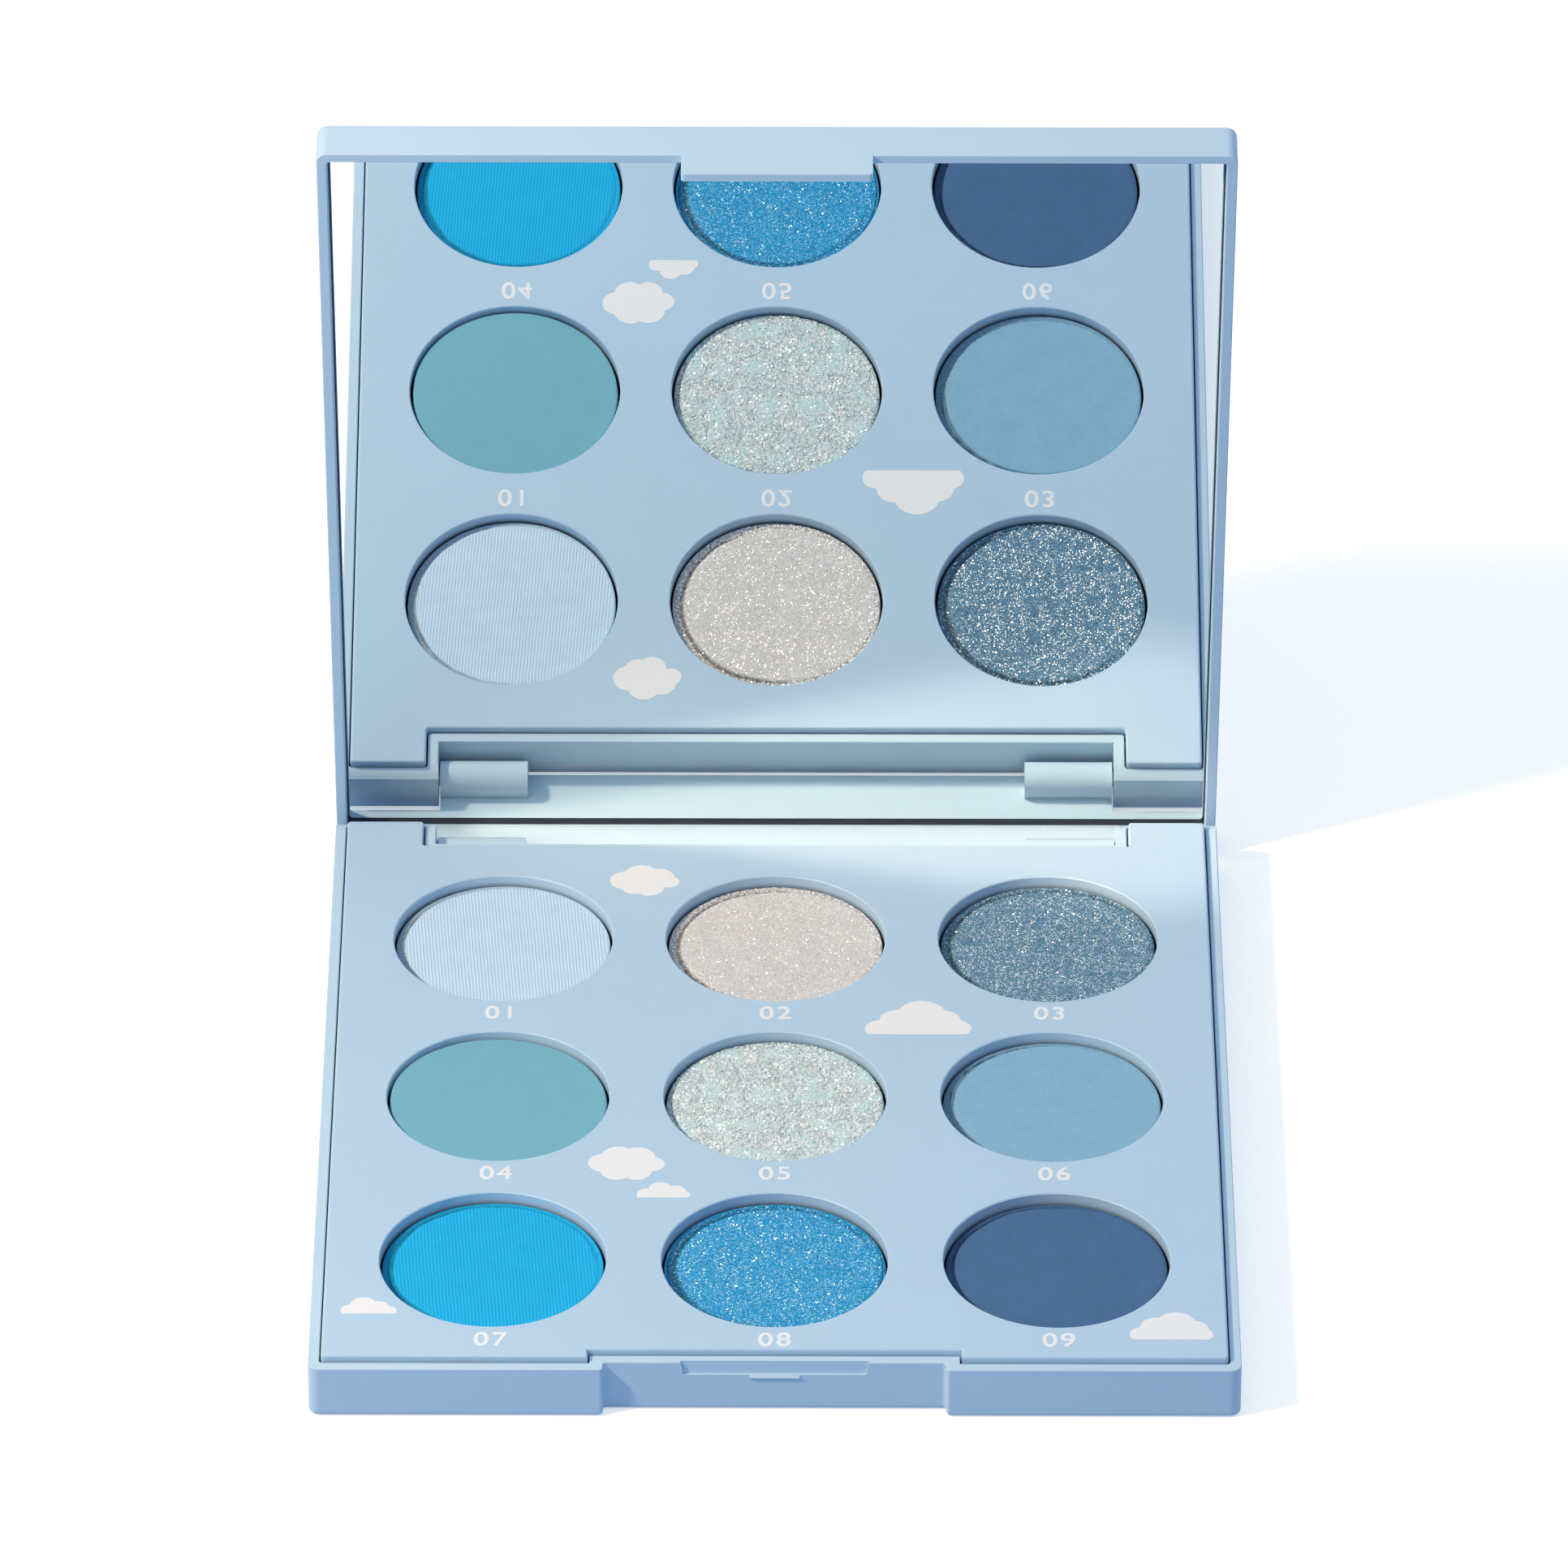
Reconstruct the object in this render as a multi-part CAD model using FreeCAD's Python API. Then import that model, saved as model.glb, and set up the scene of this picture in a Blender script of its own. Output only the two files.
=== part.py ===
import FreeCAD, Part
import math
import os

# Eyeshadow palette: a hinged case with a mirror in its lid and nine round pans of pressed powder.
# Millimetres, +Z up, +Y towards the hinge. The origin is the centre of the base's underside.
# The lid is built shut and then turned open about the hinge axis.

# Case, seen from above
case_width = 85.6
case_depth = 89.6
corner_radius = 1.0
crisp_radius = 0.35
rim_width = 1.05
floor_thickness = 1.0
rim_height = 5.35
rim_edge_radius = 0.12
foot_radius = 0.45

# Front notch, where the thumb lifts the lid
notch_half_width = 15.75
notch_depth = 1.15
notch_rim_side = 1.25
pocket_half_width = 8.65
pocket_narrowing = 0.25
pocket_height = 1.4
pocket_depth = 0.25
ridge_half_width = 2.3
ridge_height = 0.5
ridge_reach = 0.2

# Hinge, behind the tray
hinge_y = 43.0
hinge_z = 2.3
recess_half_width = 33.0
recess_depth = 4.15
barrel_radius = 1.8
barrel_length = 8.55
side_play = 0.15
pin_radius = 0.6
pin_play = 0.05
pin_seat = 5.0
boss_radius = 1.7
boss_length = 6.0
ear_radius = rim_height - hinge_z

# Lid
lid_gap = 0.15
lid_height = 4.4
lid_wall = 1.0
lid_plate = 1.1
lid_edge_radius = 0.6
spine_thickness = 0.75
spine_heel_radius = 2.15
spine_drop = 1.75
tongue_half_width = 8.9
tongue_drop = 2.7
tongue_thickness = 0.85
catch_half_width = 2.3
catch_reach = 0.08
opening_angle = 80.0

# Mirror and the tape behind it
tape_thickness = 0.15
mirror_thickness = 1.0
mirror_side_gap = 0.15
mirror_foot_gap = 0.9
mirror_bevel = 0.1
foot_seal_play = 0.1
foot_seal_recess = 0.1

# Shade tray
tray_top = 6.0
tray_plate = 1.2
tray_gap = 0.15
tray_edge_radius = 0.25
skirt_thickness = 0.9
skirt_depth = 0.6
grid_y = -2.4
grid_pitch = 26.1
hole_radius = 10.5
hole_bevel = 0.1
well_wall = 0.8
well_floor = 0.6

# Pans and powder
glue_radius = 3.0
glue_thickness = 0.15
pan_radius = 10.25
pan_height = 3.05
pan_wall = 0.25
pan_floor = 0.3
pan_foot_bevel = 0.3
powder_clearance = 0.02
powder_crown = 0.2
powder_border = 0.85
powder_border_drop = 0.25

half_width = case_width / 2
half_depth = case_depth / 2
lid_rim = rim_height + lid_gap
lid_top = lid_rim + lid_height
well_bottom = floor_thickness
glue_bottom = well_bottom + well_floor
pan_bottom = glue_bottom + glue_thickness
pan_top = pan_bottom + pan_height


def vector(x, y, z):
    return FreeCAD.Vector(x, y, z)


def prism(points, low, high):
    corners = [vector(x, y, low) for x, y in points]
    face = Part.Face(Part.makePolygon(corners + corners[:1]))
    return face.extrude(vector(0, 0, high - low))


def block(x_low, x_high, y_low, y_high, z_low, z_high):
    size = (x_high - x_low, y_high - y_low, z_high - z_low)
    return Part.makeBox(*size, vector(x_low, y_low, z_low))


def bar_along_x(points, x_low, x_high):
    corners = [vector(x_low, y, z) for y, z in points]
    face = Part.Face(Part.makePolygon(corners + corners[:1]))
    return face.extrude(vector(x_high - x_low, 0, 0))


def rod_along_x(radius, x_low, x_high):
    start = vector(x_low, hinge_y, hinge_z)
    return Part.makeCylinder(radius, x_high - x_low, start, vector(1, 0, 0))


def turned(points, x, y):
    corners = [vector(x + radius, y, height) for radius, height in points]
    face = Part.Face(Part.makePolygon(corners + corners[:1]))
    return face.revolve(vector(x, y, 0), vector(0, 0, 1), 360)


def upright_edges(solid, test):
    found = []
    for edge in solid.Edges:
        ends = [vertex.Point for vertex in edge.Vertexes]
        if len(ends) == 2 and (ends[0] - ends[1]).cross(vector(0, 0, 1)).Length < 1e-6:
            if test(ends[0].x, ends[0].y):
                found.append(edge)
    return found


def level_edges(solid, height):
    return [edge for edge in solid.Edges
            if all(abs(vertex.Point.z - height) < 1e-6 for vertex in edge.Vertexes)]


def is_case_corner(x, y):
    return abs(abs(x) - half_width) < 1e-6 and abs(abs(y) - half_depth) < 1e-6


def stepped_outline(inset, notch_side):
    # The case's plan with its front notch and rear hinge recess, moved inwards by inset.
    side = half_width - inset
    front = -half_depth + inset
    rear = half_depth - inset
    notch = notch_half_width + notch_side
    notch_front = front + notch_depth
    recess = recess_half_width + inset
    recess_front = rear - recess_depth
    return [(-side, front), (-notch, front), (-notch, notch_front), (notch, notch_front),
            (notch, front), (side, front), (side, rear), (recess, rear),
            (recess, recess_front), (-recess, recess_front), (-recess, rear), (-side, rear)]


def mirrored(solid):
    return solid.mirror(vector(0, 0, 0), vector(1, 0, 0))


def hole_centres():
    return [(column * grid_pitch, grid_y + row * grid_pitch)
            for row in (1, 0, -1) for column in (-1, 0, 1)]


def ear_relief():
    # Rounds the ears behind the hinge axis, so that the lid's rim turns past them.
    corner = block(-case_width, case_width, hinge_y, case_depth, hinge_z, 3 * rim_height)
    return corner.cut(rod_along_x(ear_radius, -case_width, case_width))


def pin_boss():
    x_low = recess_half_width + rim_width / 2
    x_high = recess_half_width + boss_length
    column = block(x_low, x_high, hinge_y - boss_radius, hinge_y + boss_radius,
                   floor_thickness / 2, hinge_z)
    return column.fuse(rod_along_x(boss_radius, x_low, x_high))


def latch_pocket():
    face = -half_depth + notch_depth
    top = pocket_half_width
    foot = pocket_half_width - pocket_narrowing
    low = rim_height - pocket_height
    corners = [vector(-top, face, rim_height), vector(-foot, face, low),
               vector(foot, face, low), vector(top, face, rim_height)]
    return Part.Face(Part.makePolygon(corners + corners[:1])).extrude(vector(0, pocket_depth, 0))


def latch_ridge():
    face = -half_depth + notch_depth
    top = rim_height - pocket_height
    profile = [(face + pocket_depth, top), (face, top), (face - ridge_reach, top - ridge_height / 2),
               (face, top - ridge_height), (face + pocket_depth, top - ridge_height)]
    return bar_along_x(profile, -ridge_half_width, ridge_half_width)


def base_shell():
    shell = prism(stepped_outline(0, 0), 0, rim_height)
    shell = shell.makeFillet(corner_radius, upright_edges(shell, is_case_corner))
    shell = shell.makeFillet(crisp_radius, upright_edges(
        shell, lambda x, y: abs(abs(x) - notch_half_width) < 1e-6 and y < 0))
    shell = shell.makeFillet(foot_radius, level_edges(shell, 0))
    cavity = prism(stepped_outline(rim_width, notch_rim_side), floor_thickness, 2 * rim_height)
    cavity = cavity.makeFillet(crisp_radius, upright_edges(cavity, lambda x, y: abs(x) > half_width / 2))
    shell = shell.cut(cavity)
    shell = shell.makeFillet(rim_edge_radius, level_edges(shell, rim_height))
    shell = shell.fuse([pin_boss(), mirrored(pin_boss())])
    shell = shell.cut([ear_relief(), latch_pocket()])
    shell = shell.fuse(latch_ridge()).removeSplitter()
    bore = rod_along_x(pin_radius, recess_half_width - 1, recess_half_width + pin_seat)
    return shell.cut([bore, mirrored(bore)])


def shade_tray():
    inset = rim_width + tray_gap
    side = notch_rim_side + tray_gap
    tray = prism(stepped_outline(inset, side), tray_top - tray_plate - skirt_depth, tray_top)
    tray = tray.makeFillet(crisp_radius, upright_edges(tray, lambda x, y: abs(x) > half_width / 2))
    tray = tray.makeFillet(tray_edge_radius, level_edges(tray, tray_top))
    hollow = prism(stepped_outline(inset + skirt_thickness, side), 0, tray_top - tray_plate)
    tray = tray.cut(hollow)
    wells = [Part.makeCylinder(hole_radius + well_wall, tray_top - tray_plate / 2 - well_bottom,
                               vector(x, y, well_bottom)) for x, y in hole_centres()]
    tray = tray.fuse(wells)
    bores = [turned([(0, glue_bottom), (hole_radius, glue_bottom), (hole_radius, tray_top - hole_bevel),
                     (hole_radius + hole_bevel, tray_top), (hole_radius + hole_bevel, tray_top + 1),
                     (0, tray_top + 1)], x, y) for x, y in hole_centres()]
    return tray.cut(bores).removeSplitter()


def pan(x, y):
    # A pressed cup, with its foot drawn in.
    inner = pan_radius - pan_wall
    floor = pan_bottom + pan_floor
    return turned([(0, pan_bottom), (pan_radius - pan_foot_bevel, pan_bottom),
                   (pan_radius, pan_bottom + pan_foot_bevel), (pan_radius, pan_top), (inner, pan_top),
                   (inner, floor), (0, floor)], x, y)


def powder(x, y):
    # A pressed cake: flat on top, with a sloping border down to the pan's lip.
    edge = pan_radius - pan_wall - powder_clearance
    low = pan_bottom + pan_floor
    top = pan_top + powder_crown
    return turned([(0, low), (edge, low), (edge, top - powder_border_drop),
                   (edge - powder_border, top), (0, top)], x, y)


def glue_dots():
    return Part.makeCompound([Part.makeCylinder(glue_radius, glue_thickness, vector(x, y, glue_bottom))
                              for x, y in hole_centres()])


def hinge_pin(side):
    end = recess_half_width + pin_seat
    start = recess_half_width - side_play - barrel_length
    pin = rod_along_x(pin_radius, start, end)
    return pin if side > 0 else mirrored(pin)


def spine():
    # The lid's rear wall between the ears, with its heel rounded about the hinge axis.
    outer = half_depth - hinge_y
    inner = outer - spine_thickness
    heel_start = -math.sqrt(spine_heel_radius ** 2 - outer ** 2)
    heel_end = math.sqrt(spine_heel_radius ** 2 - spine_drop ** 2)
    bend = math.atan2((heel_start - spine_drop) / 2, (outer + heel_end) / 2)
    x_low = -recess_half_width + side_play

    def at(reach, rise):
        return vector(x_low, hinge_y + reach, hinge_z + rise)

    middle = at(spine_heel_radius * math.cos(bend), spine_heel_radius * math.sin(bend))
    roof = lid_rim + lid_wall - hinge_z
    wire = Part.Wire([
        Part.makeLine(at(inner, roof), at(outer, roof)),
        Part.makeLine(at(outer, roof), at(outer, heel_start)),
        Part.Arc(at(outer, heel_start), middle, at(heel_end, -spine_drop)).toShape(),
        Part.makeLine(at(heel_end, -spine_drop), at(inner, -spine_drop)),
        Part.makeLine(at(inner, -spine_drop), at(inner, roof))])
    return Part.Face(wire).extrude(vector(-2 * x_low, 0, 0))


def tongue():
    front = -half_depth
    low = lid_rim - tongue_drop
    body = block(-tongue_half_width, tongue_half_width, front, front + tongue_thickness,
                 low, lid_rim + lid_wall)
    foot_corners = [edge for edge in body.Edges
                    if abs(edge.BoundBox.ZMax - low) < 1e-6 and edge.BoundBox.XLength < 1e-6]
    body = body.makeFillet(crisp_radius, foot_corners)
    inner = front + tongue_thickness
    middle = rim_height - pocket_height - ridge_height - ridge_height / 2
    profile = [(inner, middle + ridge_height / 2), (inner + catch_reach, middle),
               (inner, middle - ridge_height / 2), (front + tongue_thickness / 2, middle)]
    return body.fuse(bar_along_x(profile, -catch_half_width, catch_half_width))


def lid_shell():
    outer = block(-half_width, half_width, -half_depth, half_depth, lid_rim, lid_top)
    outer = outer.makeFillet(corner_radius, upright_edges(outer, is_case_corner))
    outer = outer.makeFillet(lid_edge_radius, level_edges(outer, lid_top))
    cavity = block(-half_width + lid_wall, half_width - lid_wall, -half_depth + lid_wall,
                   half_depth - spine_thickness, 0, lid_top - lid_plate)
    cavity = cavity.makeFillet(crisp_radius, upright_edges(cavity, lambda x, y: True))
    lid = outer.cut(cavity)
    lid = lid.makeFillet(rim_edge_radius, level_edges(lid, lid_rim))
    end = recess_half_width - side_play
    barrel = rod_along_x(barrel_radius, end - barrel_length, end)
    lid = lid.fuse([spine(), tongue(), barrel, mirrored(barrel)])
    bore = rod_along_x(pin_radius + pin_play, end - barrel_length - 1, end + 1)
    return lid.cut([bore, mirrored(bore)]).removeSplitter()


def mirror_bed(low, high, inset, foot_gap):
    wall = lid_wall + inset
    return block(-half_width + wall, half_width - wall, -half_depth + wall,
                 half_depth - spine_thickness - foot_gap, low, high)


def mirror_tape():
    # Black foam tape behind the mirror, with a raised edge that fills the gap under the mirror's foot.
    back = lid_top - lid_plate
    front = back - tape_thickness
    sheet = mirror_bed(front, back, mirror_side_gap, foot_seal_play)
    width = half_width - lid_wall - mirror_side_gap
    low_edge = half_depth - spine_thickness - foot_seal_play
    high_edge = half_depth - spine_thickness - mirror_foot_gap + foot_seal_play
    seal = block(-width, width, high_edge, low_edge, front - mirror_thickness + foot_seal_recess, back)
    return sheet.fuse(seal).removeSplitter()


def mirror_glass():
    back = lid_top - lid_plate - tape_thickness
    front = back - mirror_thickness
    glass = mirror_bed(front, back, mirror_side_gap, mirror_foot_gap)
    glass = glass.makeFillet(crisp_radius, upright_edges(glass, lambda x, y: True))
    return glass.makeChamfer(mirror_bevel, level_edges(glass, front))


def opened(solid):
    turned_solid = solid.copy()
    turned_solid.rotate(vector(0, hinge_y, hinge_z), vector(-1, 0, 0), opening_angle)
    return turned_solid


nodes = {
    "base_shell": base_shell(),
    "shade_tray": shade_tray(),
    "pan_glue_dots": glue_dots(),
    "hinge_pin_left": hinge_pin(-1),
    "hinge_pin_right": hinge_pin(1),
    "lid_shell": opened(lid_shell()),
    "mirror_tape": opened(mirror_tape()),
    "mirror_glass": opened(mirror_glass()),
}
for number, (x, y) in enumerate(hole_centres(), start=1):
    nodes[f"pan_{number}"] = pan(x, y)
    nodes[f"powder_{number}"] = powder(x, y)

os.makedirs("parts", exist_ok=True)
for name, solid in nodes.items():
    solid.exportStep(f"parts/{name}.step")
    print(name, "solids", len(solid.Solids), "volume", round(solid.Volume, 2), "valid", solid.isValid())
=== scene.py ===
import math
import random
import bpy
import numpy as np
from mathutils import Euler, Matrix, Vector, noise


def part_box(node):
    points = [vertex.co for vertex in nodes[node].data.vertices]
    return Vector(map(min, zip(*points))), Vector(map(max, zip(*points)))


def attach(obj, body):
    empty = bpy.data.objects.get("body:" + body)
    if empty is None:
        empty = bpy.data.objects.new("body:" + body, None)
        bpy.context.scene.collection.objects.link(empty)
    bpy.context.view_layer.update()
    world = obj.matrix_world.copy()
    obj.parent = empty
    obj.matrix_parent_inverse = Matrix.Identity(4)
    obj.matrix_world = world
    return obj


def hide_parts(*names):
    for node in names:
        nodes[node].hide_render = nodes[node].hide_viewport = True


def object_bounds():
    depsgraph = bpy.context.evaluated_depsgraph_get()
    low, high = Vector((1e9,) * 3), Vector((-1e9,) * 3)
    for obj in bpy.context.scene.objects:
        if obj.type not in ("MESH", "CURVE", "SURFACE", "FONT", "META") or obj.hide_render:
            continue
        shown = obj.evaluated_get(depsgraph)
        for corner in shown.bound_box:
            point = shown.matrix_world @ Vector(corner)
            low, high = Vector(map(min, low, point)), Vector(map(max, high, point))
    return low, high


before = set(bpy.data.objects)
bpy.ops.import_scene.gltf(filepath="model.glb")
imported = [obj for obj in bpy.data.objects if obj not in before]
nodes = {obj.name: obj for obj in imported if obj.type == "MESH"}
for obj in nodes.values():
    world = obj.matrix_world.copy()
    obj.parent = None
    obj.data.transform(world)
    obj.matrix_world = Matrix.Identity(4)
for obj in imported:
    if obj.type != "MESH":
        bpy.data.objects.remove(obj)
cadLow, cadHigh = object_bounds()
mm = 0.001
panNumbers = range(1, 10)  # rear left to front right, row by row
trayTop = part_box("shade_tray")[1].z
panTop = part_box("pan_1")[1].z
print("frame loaded,", len(nodes), "nodes")


# selecting and settling pieces
def pickOnly(piece):
    bpy.ops.object.select_all(action="DESELECT")
    piece.select_set(True)
    bpy.context.view_layer.objects.active = piece


def settle(piece, body, replaced=()):  # place goes into the mesh, then it rides
    pickOnly(piece)
    bpy.ops.object.transform_apply(location=True, rotation=True, scale=True)
    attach(piece, body)
    if replaced:
        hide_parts(*replaced)


def dress(piece, material):  # one finish on every slot
    if not piece.material_slots:
        piece.data.materials.append(material)
    for slot in piece.material_slots:
        slot.material = material


# node helpers
noiseSpan = (0.3, 0.7)  # most values of a noise texture lie here


def feed(tree, socket, value):
    if isinstance(value, bpy.types.NodeSocket):
        tree.links.new(value, socket)
    else:
        socket.default_value = value


def put(tree, kind, inputs=None, **settings):
    node = tree.nodes.new("ShaderNode" + kind)
    for name, value in settings.items():
        setattr(node, name, value)
    for name, value in (inputs or {}).items():
        feed(tree, node.inputs[name], value)
    return node


def sums(tree, operation, first, second):
    node = put(tree, "Math", operation=operation)
    feed(tree, node.inputs[0], first)
    feed(tree, node.inputs[1], second)
    return node.outputs[0]


def spread(tree, value, fromLow, fromHigh, toLow, toHigh):
    node = put(tree, "MapRange", {"Value": value, "From Min": fromLow, "From Max": fromHigh,
                                  "To Min": toLow, "To Max": toHigh})
    return node.outputs[0]


def blendColour(tree, factor, first, second, how="MIX"):
    node = put(tree, "Mix", data_type="RGBA", blend_type=how)
    feed(tree, node.inputs[0], factor)
    feed(tree, node.inputs[6], first)
    feed(tree, node.inputs[7], second)
    return node.outputs[2]


def speckle(tree, vector, scale, detail=2.0):
    return put(tree, "TexNoise", {"Vector": vector, "Scale": scale, "Detail": detail}).outputs[0]


def heightOf(tree, vector):
    return put(tree, "SeparateXYZ", {"Vector": vector}).outputs["Z"]


def paint(red, green, blue):
    return (red, green, blue, 1.0)


def newGroup(name, givens, results):
    tree = bpy.data.node_groups.new(name, "ShaderNodeTree")
    for label, kind in givens:
        tree.interface.new_socket(name=label, in_out="INPUT", socket_type="NodeSocket" + kind)
    for label, kind in results:
        tree.interface.new_socket(name=label, in_out="OUTPUT", socket_type="NodeSocket" + kind)
    start = tree.nodes.new("NodeGroupInput")
    end = tree.nodes.new("NodeGroupOutput")
    return tree, start.outputs, end.inputs


def useGroup(tree, name, inputs):
    node = tree.nodes.new("ShaderNodeGroup")
    node.node_tree = bpy.data.node_groups[name]
    for label, value in inputs.items():
        feed(tree, node.inputs[label], value)
    return node.outputs


def newFinish(name):
    material = bpy.data.materials.new(name)
    material.use_nodes = True
    tree = material.node_tree
    shader = tree.nodes["Principled BSDF"]
    place = put(tree, "TexCoord").outputs["Object"]
    return material, tree, shader, place


def bump(tree, shader, height, depth):
    node = put(tree, "Bump", {"Height": height, "Strength": 1.0, "Distance": depth})
    feed(tree, shader.inputs["Normal"], node.outputs[0])


# shared effects, with textures in cells per metre
skinLook = {"clouding": 70.0, "satin": 900.0, "satinPlay": 0.05}


def buildMouldedSkin():  # faint clouding of the colour, satin patches and a fine spark-eroded grain
    tree, given, result = newGroup(
        "mouldedSkin",
        [("Vector", "Vector"), ("Colour", "Color"), ("Mottle", "Float"), ("Grain", "Float"),
         ("Gloss", "Float")],
        [("Colour", "Color"), ("Roughness", "Float"), ("Height", "Float")])
    clouding = speckle(tree, given["Vector"], skinLook["clouding"], 3.0)
    clouding = spread(tree, clouding, *noiseSpan, -1.0, 1.0)
    level = sums(tree, "ADD", sums(tree, "MULTIPLY", clouding, given["Mottle"]), 1.0)
    feed(tree, result["Colour"], blendColour(tree, 1.0, given["Colour"], level, "MULTIPLY"))
    satin = speckle(tree, given["Vector"], skinLook["satin"])
    satin = spread(tree, satin, *noiseSpan, -skinLook["satinPlay"], skinLook["satinPlay"])
    feed(tree, result["Roughness"], sums(tree, "ADD", given["Gloss"], satin))
    feed(tree, result["Height"], speckle(tree, given["Vector"], given["Grain"]))


pressedLook = {"grainSpan": (0.25, 0.75), "drift": 420.0, "driftShare": 0.5, "pits": 900.0,
               "pitEdge": (0.05, 0.09), "pitShadeShare": 0.14, "pitShadeColour": paint(0.02, 0.05, 0.09)}


def buildPressedSurface():  # pigment grain, slow shifts of tone, and a few pits painted as dark spots of shade
    look = pressedLook
    tree, given, result = newGroup(
        "pressedSurface",
        [("Vector", "Vector"), ("Colour", "Color"), ("Variation", "Float"), ("Grain", "Float")],
        [("Colour", "Color"), ("Height", "Float")])
    grain = speckle(tree, given["Vector"], given["Grain"], 3.0)
    fine = spread(tree, grain, *look["grainSpan"], -1.0, 1.0)
    drift = speckle(tree, given["Vector"], look["drift"], 3.0)
    slow = spread(tree, drift, *noiseSpan, -look["driftShare"], look["driftShare"])
    tone = sums(tree, "ADD", fine, slow)
    level = sums(tree, "ADD", sums(tree, "MULTIPLY", tone, given["Variation"]), 1.0)
    toned = blendColour(tree, 1.0, given["Colour"], level, "MULTIPLY")
    # painted shade: dark spots for pits, with no hollow in the surface
    pits = put(tree, "TexVoronoi", {"Vector": given["Vector"], "Scale": look["pits"]}).outputs["Distance"]
    pitShadeMask = spread(tree, pits, *look["pitEdge"], look["pitShadeShare"], 0.0)
    feed(tree, result["Colour"], blendColour(tree, pitShadeMask, toned, look["pitShadeColour"]))
    feed(tree, result["Height"], grain)


pearlLook = {"darkDepth": 0.8}


def buildPearlGrain():  # pressed pearl: cells of darker pigment, and lighter cells that are painted glints of the pearl's sparkle
    tree, given, result = newGroup(
        "pearlGrain",
        [("Vector", "Vector"), ("Scale", "Float"), ("Colour", "Color"), ("Light", "Color"),
         ("Dark", "Color"), ("LightShare", "Float"), ("DarkShare", "Float")],
        [("Colour", "Color"), ("Gleam", "Float"), ("Height", "Float")])
    cells = put(tree, "TexVoronoi", {"Vector": given["Vector"], "Scale": given["Scale"]})
    dice = put(tree, "SeparateColor", {"Color": cells.outputs["Color"]}).outputs
    dark = sums(tree, "LESS_THAN", dice[2], given["DarkShare"])
    dark = sums(tree, "MULTIPLY", dark, pearlLook["darkDepth"])
    # painted glint: the lighter cells stand for the pearl's sparkle
    gleam = sums(tree, "MULTIPLY", sums(tree, "LESS_THAN", dice[0], given["LightShare"]), dice[1])
    toned = blendColour(tree, dark, given["Colour"], given["Dark"])
    feed(tree, result["Colour"], blendColour(tree, gleam, toned, given["Light"]))
    feed(tree, result["Gleam"], gleam)
    feed(tree, result["Height"], cells.outputs["Distance"])


dustLook = {"patches": 500.0, "patchShare": 0.6, "grains": 7000.0, "grainShare": 0.4, "edge": 0.05}


def buildLooseDust():  # powder that has fallen on a surface, in patches
    look = dustLook
    tree, given, result = newGroup(
        "looseDust", [("Vector", "Vector"), ("Cover", "Float")], [("Mask", "Float")])
    patches = sums(tree, "MULTIPLY", speckle(tree, given["Vector"], look["patches"]), look["patchShare"])
    grains = sums(tree, "MULTIPLY", speckle(tree, given["Vector"], look["grains"], 1.0), look["grainShare"])
    bare = sums(tree, "SUBTRACT", 1.0, given["Cover"])
    heap = sums(tree, "SUBTRACT", sums(tree, "ADD", patches, grains), bare)
    feed(tree, result["Mask"], spread(tree, heap, -look["edge"], look["edge"], 0.0, 1.0))


buildMouldedSkin()
buildPressedSurface()
buildPearlGrain()
buildLooseDust()
print("shared effects built")


# case, tray and the small fittings keep their CAD shape and get their finish here
plasticLooks = {  # grain in cells per metre, its depth, and where the painted well shade starts and is full under the tray's face in mm
    "case": {"colour": paint(0.53, 0.715, 0.855), "mottle": 0.012, "grain": 9000.0, "grainDepth": 0.004,
             "gloss": 0.46, "ior": 1.49, "deep": None},
    "tray": {"colour": paint(0.482, 0.668, 0.84), "mottle": 0.012, "grain": 11000.0, "grainDepth": 0.004,
             "gloss": 0.50, "ior": 1.49,
             "deep": {"from": 0.6, "full": 1.55, "colour": paint(0.03, 0.055, 0.09)}},
}


def plasticFinish(name, look):
    material, tree, shader, place = newFinish(name)
    skin = useGroup(tree, "mouldedSkin", {"Vector": place, "Colour": look["colour"],
                                          "Mottle": look["mottle"], "Grain": look["grain"],
                                          "Gloss": look["gloss"]})
    colour = skin["Colour"]
    deep = look["deep"]
    if deep:  # painted shade: the wells darken downwards, near black in the gaps round the pans
        start, end = trayTop - deep["from"] * mm, trayTop - deep["full"] * mm
        depth = spread(tree, heightOf(tree, place), start, end, 0.0, 1.0)
        colour = blendColour(tree, sums(tree, "MULTIPLY", depth, depth), colour, deep["colour"])
    feed(tree, shader.inputs["Base Color"], colour)
    feed(tree, shader.inputs["Roughness"], skin["Roughness"])
    shader.inputs["IOR"].default_value = look["ior"]
    bump(tree, shader, skin["Height"], look["grainDepth"] * mm)
    return material


fittingLooks = {  # colours from and to, textures in cells per metre, depths in mm
    "steel": {"from": paint(0.60, 0.60, 0.62), "to": paint(0.42, 0.42, 0.44), "rough": (0.22, 0.38),
              "stretch": (40.0, 9000.0, 9000.0)},
    "tape": {"from": paint(0.014, 0.020, 0.030), "to": paint(0.038, 0.053, 0.078), "rough": (0.75, 0.95),
             "pores": 5200.0, "depth": 0.03},
    "glue": {"from": paint(0.84, 0.82, 0.74), "to": paint(0.74, 0.71, 0.60), "rough": (0.15, 0.35),
             "ripple": 700.0, "depth": 0.02},
    "mirror": {"from": paint(0.868, 0.905, 0.92), "to": paint(0.838, 0.88, 0.90), "rough": (0.0, 0.012),
               "smear": 38.0, "smearSpan": (0.5, 0.8)},
    "aluminium": {"from": paint(0.82, 0.83, 0.84), "to": paint(0.70, 0.71, 0.73), "rough": (0.24, 0.42),
                  "scuff": 3000.0},
}


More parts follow.
